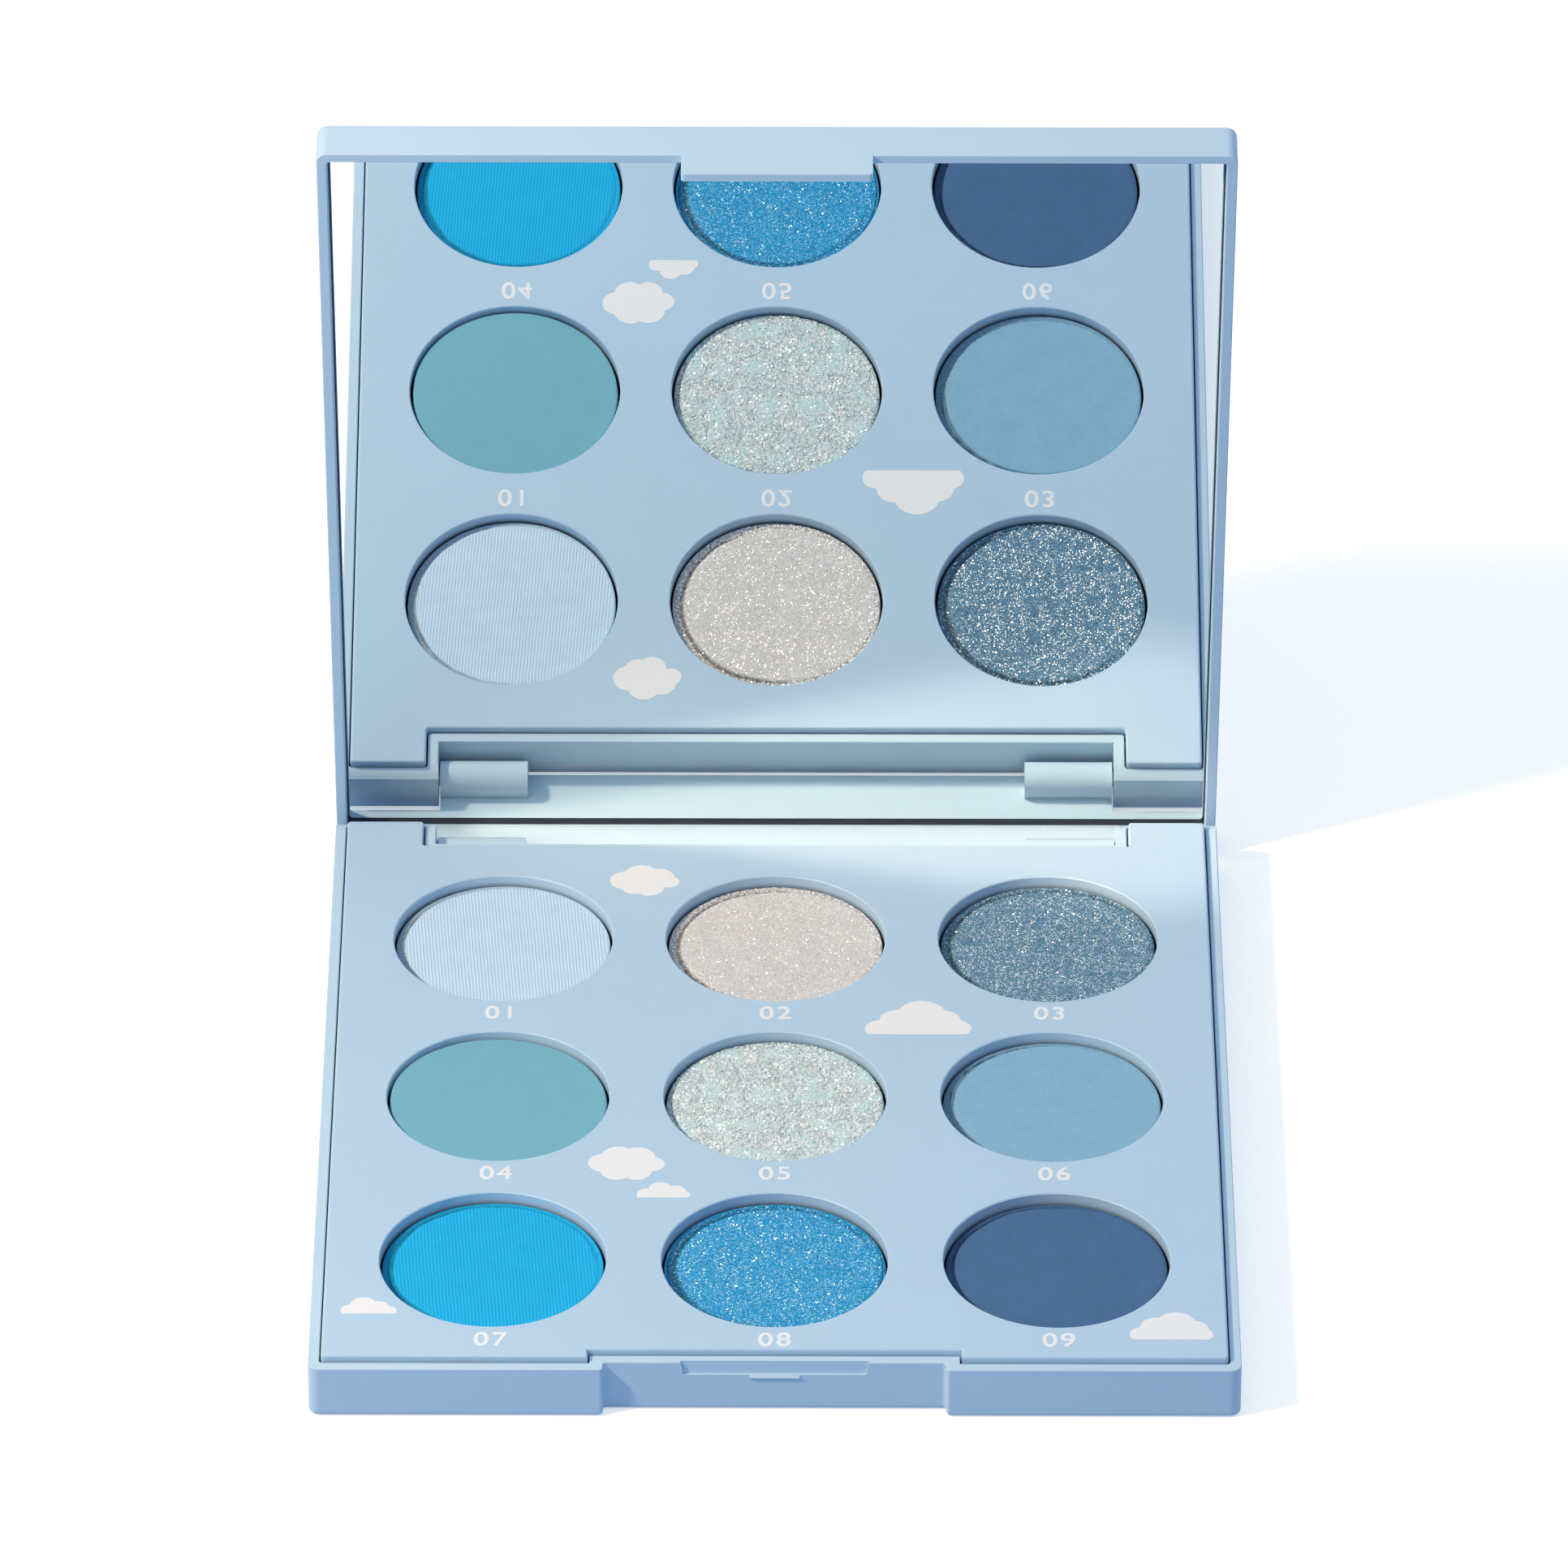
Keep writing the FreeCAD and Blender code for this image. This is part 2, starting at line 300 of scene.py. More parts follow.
def steelFinish():
    look = fittingLooks["steel"]
    material, tree, shader, place = newFinish("drawnSteel")
    along = put(tree, "Mapping", {"Vector": place, "Scale": look["stretch"]}).outputs[0]
    lines = speckle(tree, along, 1.0, 3.0)
    feed(tree, shader.inputs["Base Color"], blendColour(tree, lines, look["from"], look["to"]))
    feed(tree, shader.inputs["Roughness"], spread(tree, lines, *noiseSpan, *look["rough"]))
    shader.inputs["Metallic"].default_value = 1.0
    return material


def tapeFinish():
    look = fittingLooks["tape"]
    material, tree, shader, place = newFinish("blackFoamTape")
    pores = put(tree, "TexVoronoi", {"Vector": place, "Scale": look["pores"]}).outputs["Distance"]
    feed(tree, shader.inputs["Base Color"], blendColour(tree, pores, look["from"], look["to"]))
    feed(tree, shader.inputs["Roughness"], spread(tree, pores, 0.0, 1.0, *look["rough"]))
    bump(tree, shader, pores, look["depth"] * mm)
    return material


def glueFinish():
    look = fittingLooks["glue"]
    material, tree, shader, place = newFinish("setGlue")
    ripple = speckle(tree, place, look["ripple"])
    feed(tree, shader.inputs["Base Color"], blendColour(tree, ripple, look["from"], look["to"]))
    feed(tree, shader.inputs["Roughness"], spread(tree, ripple, *noiseSpan, *look["rough"]))
    bump(tree, shader, ripple, look["depth"] * mm)
    return material


def mirrorFinish():
    look = fittingLooks["mirror"]
    material, tree, shader, place = newFinish("silveredMirror")
    smear = speckle(tree, place, look["smear"], 4.0)
    feed(tree, shader.inputs["Base Color"], blendColour(tree, smear, look["from"], look["to"]))
    feed(tree, shader.inputs["Roughness"], spread(tree, smear, *look["smearSpan"], *look["rough"]))
    shader.inputs["Metallic"].default_value = 1.0
    return material


casePlastic = plasticFinish("casePlastic", plasticLooks["case"])
trayPlastic = plasticFinish("trayPlastic", plasticLooks["tray"])
steel = steelFinish()
for name, material in {"base_shell": casePlastic, "lid_shell": casePlastic, "shade_tray": trayPlastic,
                       "hinge_pin_left": steel, "hinge_pin_right": steel, "mirror_tape": tapeFinish(),
                       "mirror_glass": mirrorFinish(), "pan_glue_dots": glueFinish()}.items():
    dress(nodes[name], material)
print("case, tray, mirror and fittings finished")


# the nine shades: colour, pressing, how the border has worn and the painted shadow on its worn side, in mm
# with sides in degrees from +X
shades = {  # tilt drops to the right per mm, and a groove's reach is 0 for all round, 1 for a spot
    1: {"colour": paint(0.585, 0.77, 0.93), "press": "ribbed", "seed": 11, "dusted": 0.80,
        "overLip": True, "rise": 0.04, "tilt": 0.0, "border": 0.75, "drop": 0.13, "leastWear": 0.15,
        "wornShadedSide": 190, "borderShadowTone": -0.52,
        "groove": {"depth": 0.07, "inset": 0.50, "width": 0.07, "broken": 1.0, "side": 125, "reach": 0.70}},
    2: {"colour": paint(0.725, 0.70, 0.685), "press": "shimmer", "seed": 23, "dusted": 0.80,
        "overLip": True, "rise": 0.02, "tilt": 0.0, "border": 1.1, "drop": 0.16, "leastWear": 0.35,
        "wornShadedSide": 175, "borderShadowTone": -0.2, "light": paint(0.90, 0.885, 0.87),
        "dark": paint(0.52, 0.505, 0.50),
        "groove": {"depth": 0.13, "inset": 0.85, "width": 0.17, "broken": 0.2, "side": 165, "reach": 0.45}},
    3: {"colour": paint(0.095, 0.243, 0.375), "press": "shimmer", "seed": 37, "dusted": 0.80,
        "overLip": True, "rise": 0.05, "tilt": 0.0, "border": 1.05, "drop": 0.16, "leastWear": 0.40,
        "wornShadedSide": 180, "borderShadowTone": -0.25, "light": paint(0.45, 0.62, 0.73),
        "dark": paint(0.03, 0.10, 0.18),
        "groove": {"depth": 0.12, "inset": 0.72, "width": 0.20, "broken": 0.5, "side": 140, "reach": 0.30}},
    4: {"colour": paint(0.205, 0.485, 0.605), "press": "smooth", "seed": 41, "dusted": 0.98,
        "overLip": True, "rise": 0.30, "tilt": 0.022, "border": 0.2, "drop": 0.02, "leastWear": 0.35,
        "wornShadedSide": 90, "borderShadowTone": 0.0, "groove": None},
    5: {"colour": paint(0.64, 0.78, 0.79), "press": "glitter", "seed": 53, "dusted": 0.85,
        "overLip": True, "rise": 0.08, "tilt": 0.0, "border": 0.5, "drop": 0.12, "leastWear": 0.35,
        "wornShadedSide": 180, "borderShadowTone": -0.2, "light": paint(0.97, 0.985, 0.985),
        "dark": paint(0.32, 0.47, 0.48), "groove": None},
    6: {"colour": paint(0.265, 0.49, 0.665), "press": "matte", "seed": 61, "dusted": 0.92,
        "overLip": True, "rise": 0.0, "tilt": 0.0, "border": 0.95, "drop": 0.13, "leastWear": 0.20,
        "wornShadedSide": 188, "borderShadowTone": -0.50,
        "groove": {"depth": 0.12, "inset": 0.50, "width": 0.09, "broken": 0.9, "side": 137, "reach": 0.78}},
    7: {"colour": paint(0.018, 0.47, 0.83), "press": "ribbed", "seed": 79, "dusted": 0.92,
        "overLip": True, "rise": 0.04, "tilt": 0.0, "border": 0.95, "drop": 0.15, "leastWear": 0.42,
        "wornShadedSide": 188, "borderShadowTone": -0.45,
        "groove": {"depth": 0.05, "inset": 0.55, "width": 0.14, "broken": 0.2, "side": 110, "reach": 0.20}},
    8: {"colour": paint(0.006, 0.325, 0.645), "press": "shimmer", "seed": 83, "dusted": 0.62,
        "overLip": False, "rise": 0.0, "tilt": 0.0, "border": 0.95, "drop": 0.12, "leastWear": 0.42,
        "wornShadedSide": 188, "borderShadowTone": -0.45, "light": paint(0.34, 0.74, 0.95),
        "dark": paint(0.0, 0.17, 0.42),
        "groove": {"depth": 0.09, "inset": 0.62, "width": 0.16, "broken": 0.2, "side": 115, "reach": 0.30}},
    9: {"colour": paint(0.075, 0.165, 0.32), "press": "matte", "seed": 97, "dusted": 0.94,
        "overLip": True, "rise": 0.0, "tilt": 0.0, "border": 0.8, "drop": 0.12, "leastWear": 0.35,
        "wornShadedSide": 190, "borderShadowTone": -0.45,
        "groove": {"depth": 0.13, "inset": 0.55, "width": 0.08, "broken": 0.4, "side": 128, "reach": 0.70}},
}
presses = {  # sizes in mm, the rib's turn in degrees, and the shares of lighter pearl cells, which are painted glints, and of darker pearl
    "ribbed": {"columns": 500, "rows": 84, "grain": 0.006, "crumb": 0.014, "crumbShading": 0.16,
               "variation": 0.05, "pearl": None, "lumps": False,
               "rib": {"rise": 0.02, "tone": 0.13, "pitch": 0.315, "turn": 4.0, "sway": 0.04,
                       "uneven": 0.5, "stretch": 0.4, "fade": 0.2}},
    "smooth": {"columns": 150, "rows": 90, "grain": 0.003, "crumb": 0.006, "crumbShading": 0.1,
               "variation": 0.03, "pearl": None, "lumps": False, "rib": None},
    "matte": {"columns": 260, "rows": 140, "grain": 0.008, "crumb": 0.018, "crumbShading": 0.20,
              "variation": 0.07, "pearl": None, "lumps": False, "rib": None},
    "shimmer": {"columns": 260, "rows": 140, "grain": 0.018, "crumb": 0.08, "crumbShading": 0.9,
                "variation": 0.10, "pearl": {"light": 0.26, "dark": 0.26}, "lumps": False, "rib": None},
    "glitter": {"columns": 300, "rows": 190, "grain": 0.04, "crumb": 0.08, "crumbShading": 0.5,
                "variation": 0.12, "pearl": {"light": 0.30, "dark": 0.12}, "lumps": True, "rib": None},
}
fields = {  # random fields over a cake: waves per mm, and a step of the seed that keeps them apart
    "drift": (0.35, 0), "gaps": (0.9, 5), "crumbs": (4.5, 9), "grain": (6.0, 15), "swell": (2.2, 21),
    "ribs": (2.6, 27), "flocks": (0.75, 31), "bare": (0.42, 33), "crowds": (0.55, 39),
}
cakeForm = {  # sizes in mm, the angle in degrees, the rest shares
    "stepSoft": 0.07, "fullGroove": 0.10, "fullDrop": 0.25, "grooveFade": 0.25, "borderFade": 0.4,
    "roundIn": 0.14, "roundDrop": 0.05, "lipPlay": 0.04, "lipLift": 0.015, "weld": 0.0001,
    "smoothUnder": 60.0, "widthDrift": 0.12, "widthCrumbs": 0.14, "grooveDrift": 0.08,
    "grooveCrumbs": 0.04, "swellShare": 0.6, "gapsAt": (0.55, 1.2), "footShade": 0.35,
    "grooveShade": 0.5, "toneSpan": (-0.75, 0.5),
}
lumpLook = {  # across and rise in mm, the rest shares
    "across": 0.32, "rise": 0.08, "dip": 0.6, "crack": 0.20, "crackShade": -0.42, "toneSpread": 0.24,
    "crowdsAt": (0.5, 1.6), "bareFrom": (0.08, 0.36), "whiteFrom": (0.35, 0.60), "shuffle": 9.7,
    "aquaTint": 0.75, "aqua": paint(0.50, 0.74, 0.73),
}


def wander(x, y, field, seed):  # smooth random field over points in mm
    perMm, step = fields[field]
    return np.array([noise.noise(Vector((a * perMm, b * perMm, seed + step))) for a, b in zip(x, y)])


def ease(low, high, value):
    t = np.clip((value - low) / (high - low), 0.0, 1.0)
    return t * t * (3.0 - 2.0 * t)


def facingSide(x, y, side):  # 1 on that side of the cake, 0 on the far side
    return 0.5 + 0.5 * np.cos(np.arctan2(y, x) - math.radians(side))


def lumpRelief(x, y, seed):  # lumps of pressed glitter: height in mm, tone with painted shade in the cracks, and a tint from aqua to white
    look = lumpLook
    start = Vector((0, 0, seed))
    cells = [noise.voronoi(Vector((a, b, 0)) / look["across"] + start) for a, b in zip(x, y)]
    gap = np.clip([(away[1] - away[0]) / look["crack"] for away, _ in cells], 0.0, 1.0)
    dice = np.array([noise.cell_vector(centres[0] * look["shuffle"]) for _, centres in cells])
    even, swing = look["crowdsAt"]
    crowd = np.clip(even + swing * wander(x, y, "crowds", seed), 0.0, 1.0)
    bare = ease(*look["bareFrom"], wander(x, y, "bare", seed))  # patches without lumps
    height = look["rise"] * (dice[:, 0] - 0.5 + look["dip"] * (gap - 1.0)) * (1.0 - bare)
    # painted shade in the cracks, and random tone from lump to lump
    tone = (look["crackShade"] * (1.0 - gap) + look["toneSpread"] * (dice[:, 1] - 0.5)) * (1.0 - bare)
    white = ease(*look["whiteFrom"], dice[:, 2]) * gap * crowd
    return height, tone, white * (1.0 - bare) - look["aquaTint"] * bare


def grooveShare(groove, inward, ahead, drift, crumbs, broken):  # 1 in the middle of the groove
    away = inward - groove["inset"] - cakeForm["grooveDrift"] * drift - cakeForm["grooveCrumbs"] * crumbs
    share = np.exp(-(away / groove["width"]) ** 2) * (1.0 + groove["broken"] * (broken - 1.0))
    return share * ease(groove["reach"], groove["reach"] + cakeForm["grooveFade"], ahead)


def ribWave(rib, x, y, drift, seed):
    turn = math.radians(rib["turn"])
    across = x * math.cos(turn) + y * math.sin(turn) + rib["sway"] * drift
    uneven = 1.0 + rib["uneven"] * wander(x * rib["stretch"], y, "ribs", seed)
    return np.sin(2.0 * math.pi * across / rib["pitch"]) * uneven


def cakeRelief(x, y, radius, look, press):  # height over the plateau in mm, tone with painted shade and light on the relief, and tint
    form, seed = cakeForm, look["seed"]
    soft, rib, groove = form["stepSoft"], press["rib"], look["groove"]
    r = np.maximum(np.hypot(x, y), 1e-6)  # never 0, because it divides
    inward = radius - r
    ringX, ringY = x / r * radius, y / r * radius
    drift = wander(ringX, ringY, "drift", seed)
    even, most = form["gapsAt"]
    broken = np.clip(even + most * wander(ringX, ringY, "gaps", seed), 0.0, most)
    crumbs = wander(x, y, "crumbs", seed)
    facing = facingSide(x, y, look["wornShadedSide"])
    wear = look["leastWear"] + (1.0 - look["leastWear"]) * facing
    width = look["border"] * (wear + form["widthDrift"] * drift + form["widthCrumbs"] * crumbs)
    worn = 1.0 - ease(width - soft, width + soft, inward)
    border = 1.0 - ease(width, width + form["borderFade"], inward)
    foot = np.exp(-((inward - width + soft) / soft) ** 2) * wear * broken * look["drop"] / form["fullDrop"]
    z = look["rise"] - look["drop"] * wear * worn
    # painted shade and light: crumb hollows darker, raised crumbs lighter, and a dark line at the foot of the
    # worn step
    tone = press["crumbShading"] * border * crumbs - form["footShade"] * foot
    if groove:
        share = grooveShare(groove, inward, facingSide(x, y, groove["side"]), drift, crumbs, broken)
        z = z - groove["depth"] * share
        # painted shade down in the groove
        tone = tone - form["grooveShade"] * share * groove["depth"] / form["fullGroove"]
    z = z - form["roundDrop"] * (1.0 - ease(0.0, form["roundIn"], inward)) ** 2 - look["tilt"] * x
    z = z + press["crumb"] * border * crumbs
    swell = form["swellShare"] * wander(x, y, "swell", seed)
    z = z + press["grain"] * (wander(x, y, "grain", seed) + swell)
    # painted shadow on the worn border, strongest on the worn side
    tone = tone + look["borderShadowTone"] * worn * facing
    if rib:
        wave = ribWave(rib, x, y, drift, seed) * ease(width, width + rib["fade"], inward)
        z = z + rib["rise"] * wave
        # painted shade in the rib valleys and painted light on the ridges
        tone = tone + rib["tone"] * wave
    tint = np.zeros_like(z)
    if press["lumps"]:
        lift, shadow, tint = lumpRelief(x, y, seed)
        z = z + lift
        tone = tone + shadow
    return z, np.clip(tone, *form["toneSpan"]), tint


def cakeSize(number, look):  # the two radii in mm, the rest in metres
    low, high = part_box(f"powder_{number}")
    panLow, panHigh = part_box(f"pan_{number}")
    inside = (high.x - low.x) / 2 / mm
    outside = (panHigh.x - panLow.x) / 2 / mm - cakeForm["lipPlay"]
    return {"centre": (low + high) / 2, "inside": inside, "radius": outside if look["overLip"] else inside,
            "foot": low.z, "top": high.z, "lip": panHigh.z + cakeForm["lipLift"] * mm}


def pressedCake(number, look):
    press = presses[look["press"]]
    size = cakeSize(number, look)
    centre, radius = size["centre"], size["radius"]
    bpy.ops.object.select_all(action="DESELECT")
    bpy.ops.mesh.primitive_grid_add(x_subdivisions=press["columns"], y_subdivisions=press["rows"], size=2.0)
    cake = bpy.context.object
    cake.name = cake.data.name = f"pressed_powder_{number}"
    points = np.empty(len(cake.data.vertices) * 3)
    cake.data.vertices.foreach_get("co", points)
    points = points.reshape(-1, 3)
    x = radius * points[:, 0]
    half = np.sqrt(np.maximum(radius ** 2 - x ** 2, 0.0))
    y = half * np.sin(points[:, 1] * math.pi / 2)  # rows crowd at the rim
    z, tone, tint = cakeRelief(x, y, radius, look, press)
    points = np.column_stack((centre.x + x * mm, centre.y + y * mm, size["top"] + z * mm))
    cake.data.vertices.foreach_set("co", points.ravel())
    # the tone holds the painted shade and light of the relief
    cake.data.attributes.new("toneAndShade", "FLOAT", "POINT").data.foreach_set("value", tone)
    cake.data.attributes.new("lumpTint", "FLOAT", "POINT").data.foreach_set("value", tint)
    cake.data.update()
    bpy.ops.object.mode_set(mode="EDIT")
    bpy.ops.mesh.select_all(action="SELECT")
    bpy.ops.mesh.remove_doubles(threshold=cakeForm["weld"] * mm)
    bpy.ops.mesh.select_all(action="SELECT")
    bpy.ops.mesh.region_to_loop()
    if look["overLip"]:  # side wall down to the pan's lip, then in over it
        lip, narrow = (centre.x, centre.y, size["lip"]), size["inside"] / radius
        bpy.ops.mesh.extrude_edges_move()
        bpy.ops.transform.resize(value=(1, 1, 0), center_override=lip)
        bpy.ops.mesh.extrude_edges_move()
        bpy.ops.transform.resize(value=(narrow, narrow, 1), center_override=lip)
    bpy.ops.mesh.extrude_edges_move()  # side wall, down to the pan's floor
    bpy.ops.transform.resize(value=(1, 1, 0), center_override=(centre.x, centre.y, size["foot"]))
    bpy.ops.mesh.edge_face_add()
    bpy.ops.mesh.select_all(action="SELECT")
    bpy.ops.mesh.normals_make_consistent(inside=False)
    bpy.ops.object.mode_set(mode="OBJECT")
    bpy.ops.object.shade_smooth_by_angle(angle=math.radians(cakeForm["smoothUnder"]))
    dress(cake, shadeFinish(number, look, press))
    settle(cake, "base", [f"powder_{number}"])


powderLook = {  # pigment and pearl in cells per metre, depths in mm
    "pigment": 6500.0, "pigmentDepth": 0.02, "matteRough": 0.82, "matteShine": 0.12,
    "pearl": 11000.0, "pearlDepth": 0.012, "pearlRough": (0.55, 0.35), "pearlShine": 0.3,
}


def shadeFinish(number, look, press):
    material, tree, shader, place = newFinish(f"pressedShade{number}")
    # the tone brings the painted shade and light of the relief into the colour
    tone = sums(tree, "ADD", put(tree, "Attribute", attribute_name="toneAndShade").outputs["Fac"], 1.0)
    pressed = useGroup(tree, "pressedSurface", {"Vector": place, "Colour": look["colour"],
                                                "Variation": press["variation"],
                                                "Grain": powderLook["pigment"]})
    colour, shares = pressed["Colour"], press["pearl"]
    if press["lumps"]:  # aqua patches and white lumps
        tint = put(tree, "Attribute", attribute_name="lumpTint").outputs["Fac"]
        colour = blendColour(tree, spread(tree, tint, -1.0, 0.0, 1.0, 0.0), colour, lumpLook["aqua"])
        colour = blendColour(tree, spread(tree, tint, 0.0, 1.0, 0.0, 1.0), colour, look["light"])
    if shares:
        pearl = useGroup(tree, "pearlGrain", {"Vector": place, "Scale": powderLook["pearl"],
                                              "Colour": colour, "Light": look["light"], "Dark": look["dark"],
                                              "LightShare": shares["light"], "DarkShare": shares["dark"]})
        colour = pearl["Colour"]
        rough = spread(tree, pearl["Gleam"], 0.0, 1.0, *powderLook["pearlRough"])
        feed(tree, shader.inputs["Roughness"], rough)
        shader.inputs["Specular IOR Level"].default_value = powderLook["pearlShine"]
        bump(tree, shader, pearl["Height"], powderLook["pearlDepth"] * mm)
    else:
        shader.inputs["Roughness"].default_value = powderLook["matteRough"]
        shader.inputs["Specular IOR Level"].default_value = powderLook["matteShine"]
        bump(tree, shader, pressed["Height"], powderLook["pigmentDepth"] * mm)
    feed(tree, shader.inputs["Base Color"], blendColour(tree, 1.0, colour, tone, "MULTIPLY"))
    return material


for number in panNumbers:
    pressedCake(number, shades[number])
print("nine cakes pressed")


# pans: aluminium, with the shade's own dust on the lip, and painted shade with some dust down the side
panLook = {"gapShadeAndDust": paint(0.02, 0.025, 0.035), "gapShadeFrom": 0.04, "gapShadeFull": 0.3,
           "dustShade": 0.85, "dustDepth": 0.02, "dustRough": 0.5}  # mm, the painted gap shade from the lip down


def panFinish(number, look):
    metal = fittingLooks["aluminium"]
    material, tree, shader, place = newFinish(f"dustyAluminium{number}")
    scuff = speckle(tree, place, metal["scuff"], 3.0)
    dust = useGroup(tree, "looseDust", {"Vector": place, "Cover": look["dusted"]})["Mask"]
    # painted shade with some dust: the pan's side goes dark down into the gap
    full, start = panTop - panLook["gapShadeFull"] * mm, panTop - panLook["gapShadeFrom"] * mm
    gapShadeAndDust = spread(tree, heightOf(tree, place), full, start, 1.0, 0.0)
    covered = sums(tree, "MAXIMUM", dust, gapShadeAndDust)
    bare = blendColour(tree, scuff, metal["from"], metal["to"])
    dusty = blendColour(tree, dust, bare, paint(*(panLook["dustShade"] * c for c in look["colour"][:3])))
    feed(tree, shader.inputs["Base Color"], blendColour(tree, gapShadeAndDust, dusty, panLook["gapShadeAndDust"]))
    feed(tree, shader.inputs["Metallic"], sums(tree, "SUBTRACT", 1.0, covered))
    worn = spread(tree, scuff, *noiseSpan, *metal["rough"])
    rough = sums(tree, "ADD", worn, sums(tree, "MULTIPLY", covered, panLook["dustRough"]))
    feed(tree, shader.inputs["Roughness"], rough)
    bump(tree, shader, dust, panLook["dustDepth"] * mm)
    return material


for number in panNumbers:
    dress(nodes[f"pan_{number}"], panFinish(number, shades[number]))
print("pans finished")


# loose platelets on the shimmer and glitter cakes, in grades
toCamera = {"tip": 43.0, "roll": -21.0}  # degrees, tip to the front and roll to the right
toMirror = {"tip": -10.0, "roll": -23.0}
lyingFlat = {"tip": 0.0, "roll": 0.0}
flakeLooks = {  # radius in mm, lean for how far tip and roll vary, flock 0 for even and 1 for clusters
    2: [{"count": 560, "size": (0.05, 0.10), **toCamera, "lean": 13.0, "flock": 0.0,
         "tints": [(0.98, 0.98, 0.98)]},
        {"count": 2300, "size": (0.05, 0.09), **toMirror, "lean": 10.0, "flock": 0.0,
         "tints": [(0.99, 0.99, 1.0)]},
        {"count": 1200, "size": (0.03, 0.05), **lyingFlat, "lean": 20.0, "flock": 0.0,
         "tints": [(0.93, 0.91, 0.89), (0.86, 0.84, 0.82), (0.50, 0.49, 0.49)]}],
    3: [{"count": 460, "size": (0.045, 0.105), **toCamera, "lean": 13.0, "flock": 0.3,
         "tints": [(0.86, 0.96, 1.0)]},
        {"count": 3200, "size": (0.045, 0.09), **toMirror, "lean": 8.5, "flock": 0.1,
         "tints": [(0.92, 0.97, 1.0)]},
        {"count": 800, "size": (0.04, 0.065), "tip": 30.0, "roll": 0.0, "lean": 18.0, "flock": 0.0,
         "tints": [(0.62, 0.77, 0.87)]},
        {"count": 1300, "size": (0.03, 0.05), **lyingFlat, "lean": 20.0, "flock": 0.0,
         "tints": [(0.55, 0.68, 0.78), (0.36, 0.50, 0.61), (0.80, 0.88, 0.93)]}],
    5: [{"count": 1500, "size": (0.07, 0.15), "tip": 26.0, "roll": -10.0, "lean": 26.0, "flock": 0.8,
         "tints": [(0.95, 0.98, 1.0)] * 20 + [(0.86, 0.93, 0.93)] * 7 + [(0.62, 0.82, 0.82)] * 5
         + [(0.95, 0.78, 0.66)]},
        {"count": 800, "size": (0.07, 0.15), **toMirror, "lean": 16.0, "flock": 0.8,
         "tints": [(0.95, 0.98, 1.0)]},
        {"count": 2600, "size": (0.05, 0.10), "tip": 10.0, "roll": 0.0, "lean": 34.0, "flock": 0.2,
         "tints": [(0.96, 0.98, 0.98)] * 4 + [(0.74, 0.87, 0.87)] * 3 + [(0.45, 0.58, 0.60)] * 2}],
    8: [{"count": 540, "size": (0.045, 0.105), **toCamera, "lean": 13.0, "flock": 0.3,
         "tints": [(0.60, 0.91, 1.0), (0.86, 0.97, 1.0)]},
        {"count": 560, "size": (0.045, 0.10), **toMirror, "lean": 13.0, "flock": 0.3,
         "tints": [(0.60, 0.91, 1.0), (0.86, 0.97, 1.0)]},
        {"count": 800, "size": (0.04, 0.065), "tip": 30.0, "roll": 0.0, "lean": 18.0, "flock": 0.0,
         "tints": [(0.36, 0.78, 0.94)]},
        {"count": 1600, "size": (0.03, 0.05), **lyingFlat, "lean": 20.0, "flock": 0.0,
         "tints": [(0.20, 0.68, 0.91), (0.10, 0.56, 0.85), (0.46, 0.82, 0.95)]}],
}
flakeForm = {  # thick and narrowest as shares of a flake's radius, rim of the cake's, film in cells per metre
    "sides": 6, "thick": 0.22, "narrowest": 0.55, "rim": 0.985, "flocksAt": (0.5, 1.4),
    "leastTone": -0.2, "film": 12000.0, "filmShare": 0.12, "rough": (0.26, 0.40), "metal": 0.25,
}


def flakeFinish():
    material, tree, shader, place = newFinish("pearlFlake")
    tint = put(tree, "Attribute", attribute_name="flakeTint").outputs["Color"]
    film = speckle(tree, place, flakeForm["film"], 1.0)
    pale = sums(tree, "MULTIPLY", film, flakeForm["filmShare"])
    feed(tree, shader.inputs["Base Color"], blendColour(tree, pale, tint, paint(1, 1, 1)))
    feed(tree, shader.inputs["Roughness"], spread(tree, film, *noiseSpan, *flakeForm["rough"]))
    shader.inputs["Metallic"].default_value = flakeForm["metal"]
    return material


def modelFlake():  # a six-sided platelet of radius 1
    bpy.ops.object.select_all(action="DESELECT")
    bpy.ops.mesh.primitive_circle_add(vertices=flakeForm["sides"], radius=1.0, fill_type="NGON")
    flake = bpy.context.object
    bpy.ops.object.mode_set(mode="EDIT")
    bpy.ops.mesh.extrude_region_move(TRANSFORM_OT_translate={"value": (0, 0, flakeForm["thick"])})
    bpy.ops.mesh.select_all(action="SELECT")
    bpy.ops.mesh.normals_make_consistent(inside=False)
    bpy.ops.object.mode_set(mode="OBJECT")
    corners = [vertex.co.copy() for vertex in flake.data.vertices]
    faces = [tuple(face.vertices) for face in flake.data.polygons]
    bpy.data.meshes.remove(flake.data)
    return corners, faces


def flakeSpots(grade, radius, dice, seed):  # places on the cake, thinned where they flock
    even, swing = flakeForm["flocksAt"]
    spots = []
    while len(spots) < grade["count"]:
        r = radius * flakeForm["rim"] * math.sqrt(dice.random())
        a = dice.uniform(0, 2 * math.pi)
        x, y = r * math.cos(a), r * math.sin(a)
        crowd = even + swing * wander([x], [y], "flocks", seed)[0]
        if crowd > grade["flock"] * dice.random():
            spots.append((x, y))
    return np.array(spots).T


